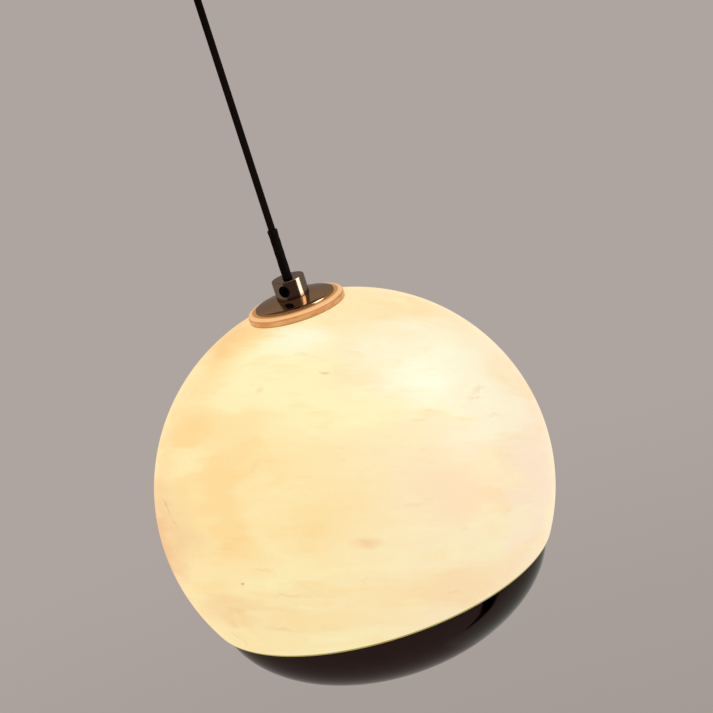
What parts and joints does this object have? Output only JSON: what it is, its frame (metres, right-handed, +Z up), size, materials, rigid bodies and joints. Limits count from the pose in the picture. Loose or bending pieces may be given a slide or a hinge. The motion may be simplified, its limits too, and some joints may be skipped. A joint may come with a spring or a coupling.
{
  "type": "globe pendant light",
  "caption": "Globe pendant light: an alabaster shell closed below by a dark metal bowl, hung on a black cord from a round ceiling canopy.",
  "frame": {"origin": "on the ceiling, on the lamp's axis, midway between the strap's two ceiling slots", "axes": "+Z up into the ceiling, +X along the strap towards the earth screw, +Y towards the first lampholder"},
  "size_m": [0.3, 0.3, 0.5756],
  "materials": {
    "alabaster": "honed, lit from inside",
    "dark_nickel": "polished dark nickel plate",
    "zinc_steel": "zinc plated",
    "hub_aluminium": "turned",
    "brass": "machined",
    "cord_black": "matt",
    "silicone": "translucent, moulded",
    "steatite": "unglazed",
    "lamp_glass": "frosted inside",
    "lamp_plastic": "moulded",
    "led_phosphor": "silicone coated LEDs",
    "nylon_black": "moulded",
    "nylon_white": "moulded",
    "insulation_brown": "smooth",
    "insulation_blue": "smooth",
    "insulation_green_yellow": "smooth, striped",
    "insulation_white": "silicone sleeve",
    "tinned_copper": "tinned"
  },
  "bodies": {
    "ceiling_mount": {"ceiling_bracket": "zinc_steel", "canopy_cup": "dark_nickel", "canopy_screws": "dark_nickel", "terminal_block": "nylon_white", "terminal_screws": "zinc_steel", "block_screw": "zinc_steel", "earth_screw": "brass", "grip_body": "dark_nickel", "grip_stem": "zinc_steel", "grip_locknut": "zinc_steel", "cord_tail": "cord_black", "lead_live": "insulation_brown", "lead_neutral": "insulation_blue", "lead_earth": "insulation_green_yellow"},
    "swivel": {"seat_cup": "nylon_black"},
    "cord": {"suspension_cord": "cord_black", "cord_sleeve": "cord_black", "cord_stop": "brass", "ball_ferrule": "brass"},
    "lamp": {"cord_collar": "dark_nickel", "collar_grub_screw": "dark_nickel", "top_plate": "dark_nickel", "top_gasket": "silicone", "alabaster_globe": "alabaster", "inner_gasket": "silicone", "clamp_washer": "zinc_steel", "clamp_nut": "zinc_steel", "tie_tube": "zinc_steel", "lampholder_hub": "hub_aluminium", "hub_cover": "hub_aluminium", "hub_nuts": "zinc_steel", "holder_nipples": "brass", "holder_contacts": "brass", "lampholder_1": "steatite", "lampholder_2": "steatite", "lampholder_3": "steatite", "tube_leads": "insulation_white", "holder_leads": "insulation_white", "crimp_connectors": "nylon_white"},
    "capsule_1": {"lamp_1_base": "lamp_plastic", "lamp_1_glass": "lamp_glass", "lamp_1_led_stick": "led_phosphor", "lamp_1_pins": "tinned_copper"},
    "capsule_2": {"lamp_2_base": "lamp_plastic", "lamp_2_glass": "lamp_glass", "lamp_2_led_stick": "led_phosphor", "lamp_2_pins": "tinned_copper"},
    "capsule_3": {"lamp_3_base": "lamp_plastic", "lamp_3_glass": "lamp_glass", "lamp_3_led_stick": "led_phosphor", "lamp_3_pins": "tinned_copper"},
    "bowl": {"metal_bowl": "dark_nickel", "bowl_locating_ring": "zinc_steel", "mouth_gasket": "silicone", "nut_washer": "nylon_black"},
    "nut": {"bottom_nut": "dark_nickel"}
  },
  "joints": [
    {"name": "cord_swing_x", "type": "hinge", "parent": "ceiling_mount", "child": "swivel", "pos_m": [0, 0, -0.034], "axis": [1, 0, 0], "range_deg": [-25, 25]},
    {"name": "cord_swing_y", "type": "hinge", "parent": "swivel", "child": "cord", "pos_m": [0, 0, -0.034], "axis": [0, 1, 0], "range_deg": [-25, 25]},
    {"name": "lamp_turn", "type": "hinge", "parent": "cord", "child": "lamp", "pos_m": [0, 0, -0.2604], "axis": [0, 0, 1], "range_deg": [-180, 180]},
    {"name": "bowl_drop", "type": "slide", "parent": "lamp", "child": "bowl", "axis": [0, 0, -1], "range_m": [0, 0.1]},
    {"name": "nut_turn", "type": "hinge", "parent": "bowl", "child": "nut", "pos_m": [0, 0, -0.572], "axis": [0, 0, 1], "continuous": true},
    {"name": "capsule_1_pull", "type": "slide", "parent": "lamp", "child": "capsule_1", "axis": [0, 0.766, 0.6428], "range_m": [0, 0.02]},
    {"name": "capsule_2_pull", "type": "slide", "parent": "lamp", "child": "capsule_2", "axis": [-0.6634, -0.383, 0.6428], "range_m": [0, 0.02]},
    {"name": "capsule_3_pull", "type": "slide", "parent": "lamp", "child": "capsule_3", "axis": [0.6634, -0.383, 0.6428], "range_m": [0, 0.02]}
  ]
}
